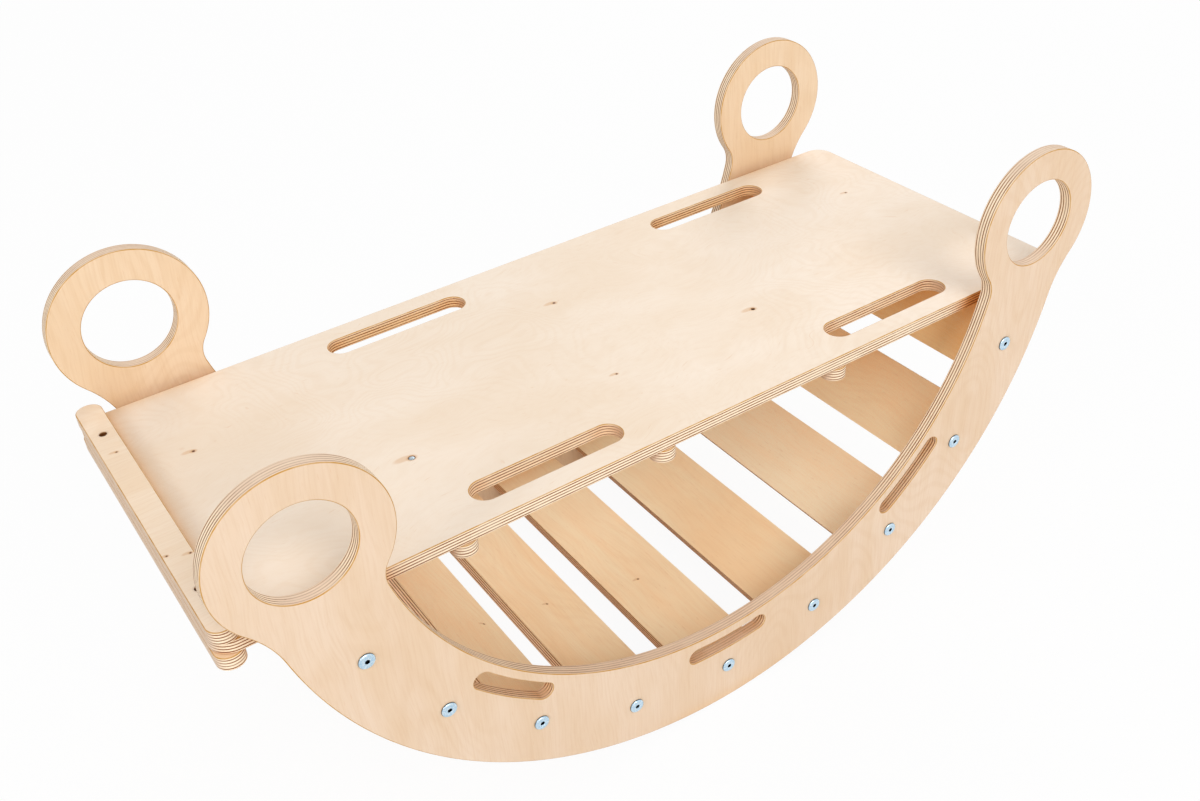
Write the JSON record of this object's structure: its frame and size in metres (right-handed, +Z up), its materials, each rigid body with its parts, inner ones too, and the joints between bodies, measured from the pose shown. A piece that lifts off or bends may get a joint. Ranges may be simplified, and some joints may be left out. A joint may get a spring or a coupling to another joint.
{
  "type": "kids rocking chair",
  "caption": "Child's plywood rocker: crescent side panels with grip rings, joined by bolted cross slats, carrying a lift-off board with grip slots, an end batten and rungs below.",
  "frame": {"origin": "on the floor, midway between the side panels, under the lowest points of the runners", "axes": "+X along the rocker, away from the board's batten end; +Y across it, from the near panel to the far panel of the picture; +Z up"},
  "size_m": [1.0468, 0.4746, 0.5479],
  "materials": {
    "panel_plywood": "satin lacquer",
    "slat_plywood": "satin lacquer",
    "board_plywood": "satin lacquer",
    "zinc_bolt": "blue zinc plating",
    "zinc_nut": "zinc plating",
    "zinc_screw": "zinc plating"
  },
  "bodies": {
    "rocker": {"side_panel_near": "panel_plywood", "side_panel_far": "panel_plywood", "slat_1": "slat_plywood", "slat_2": "slat_plywood", "slat_3": "slat_plywood", "slat_4": "slat_plywood", "slat_5": "slat_plywood", "slat_6": "slat_plywood", "slat_7": "slat_plywood", "slat_8": "slat_plywood", "slat_9": "slat_plywood", "side_bolt_near_1": "zinc_bolt", "side_bolt_near_2": "zinc_bolt", "side_bolt_near_3": "zinc_bolt", "side_bolt_near_4": "zinc_bolt", "side_bolt_near_5": "zinc_bolt", "side_bolt_near_6": "zinc_bolt", "side_bolt_near_7": "zinc_bolt", "side_bolt_near_8": "zinc_bolt", "side_bolt_near_9": "zinc_bolt", "side_bolt_far_1": "zinc_bolt", "side_bolt_far_2": "zinc_bolt", "side_bolt_far_3": "zinc_bolt", "side_bolt_far_4": "zinc_bolt", "side_bolt_far_5": "zinc_bolt", "side_bolt_far_6": "zinc_bolt", "side_bolt_far_7": "zinc_bolt", "side_bolt_far_8": "zinc_bolt", "side_bolt_far_9": "zinc_bolt", "barrel_nut_near_1": "zinc_nut", "barrel_nut_near_2": "zinc_nut", "barrel_nut_near_3": "zinc_nut", "barrel_nut_near_4": "zinc_nut", "barrel_nut_near_5": "zinc_nut", "barrel_nut_near_6": "zinc_nut", "barrel_nut_near_7": "zinc_nut", "barrel_nut_near_8": "zinc_nut", "barrel_nut_near_9": "zinc_nut", "barrel_nut_far_1": "zinc_nut", "barrel_nut_far_2": "zinc_nut", "barrel_nut_far_3": "zinc_nut", "barrel_nut_far_4": "zinc_nut", "barrel_nut_far_5": "zinc_nut", "barrel_nut_far_6": "zinc_nut", "barrel_nut_far_7": "zinc_nut", "barrel_nut_far_8": "zinc_nut", "barrel_nut_far_9": "zinc_nut"},
    "lift_board": {"board": "board_plywood", "top_batten": "board_plywood", "rung_1": "board_plywood", "rung_2": "board_plywood", "rung_3": "board_plywood", "rung_4": "board_plywood", "batten_screw_near": "zinc_screw", "batten_screw_far": "zinc_screw", "rung_screw_2": "zinc_screw", "rung_screw_3": "zinc_screw", "rung_screw_4": "zinc_screw"}
  },
  "joints": [
    {"name": "board_lift", "type": "slide", "parent": "rocker", "child": "lift_board", "axis": [0, 0, 1], "range_m": [0, 0.22]}
  ]
}
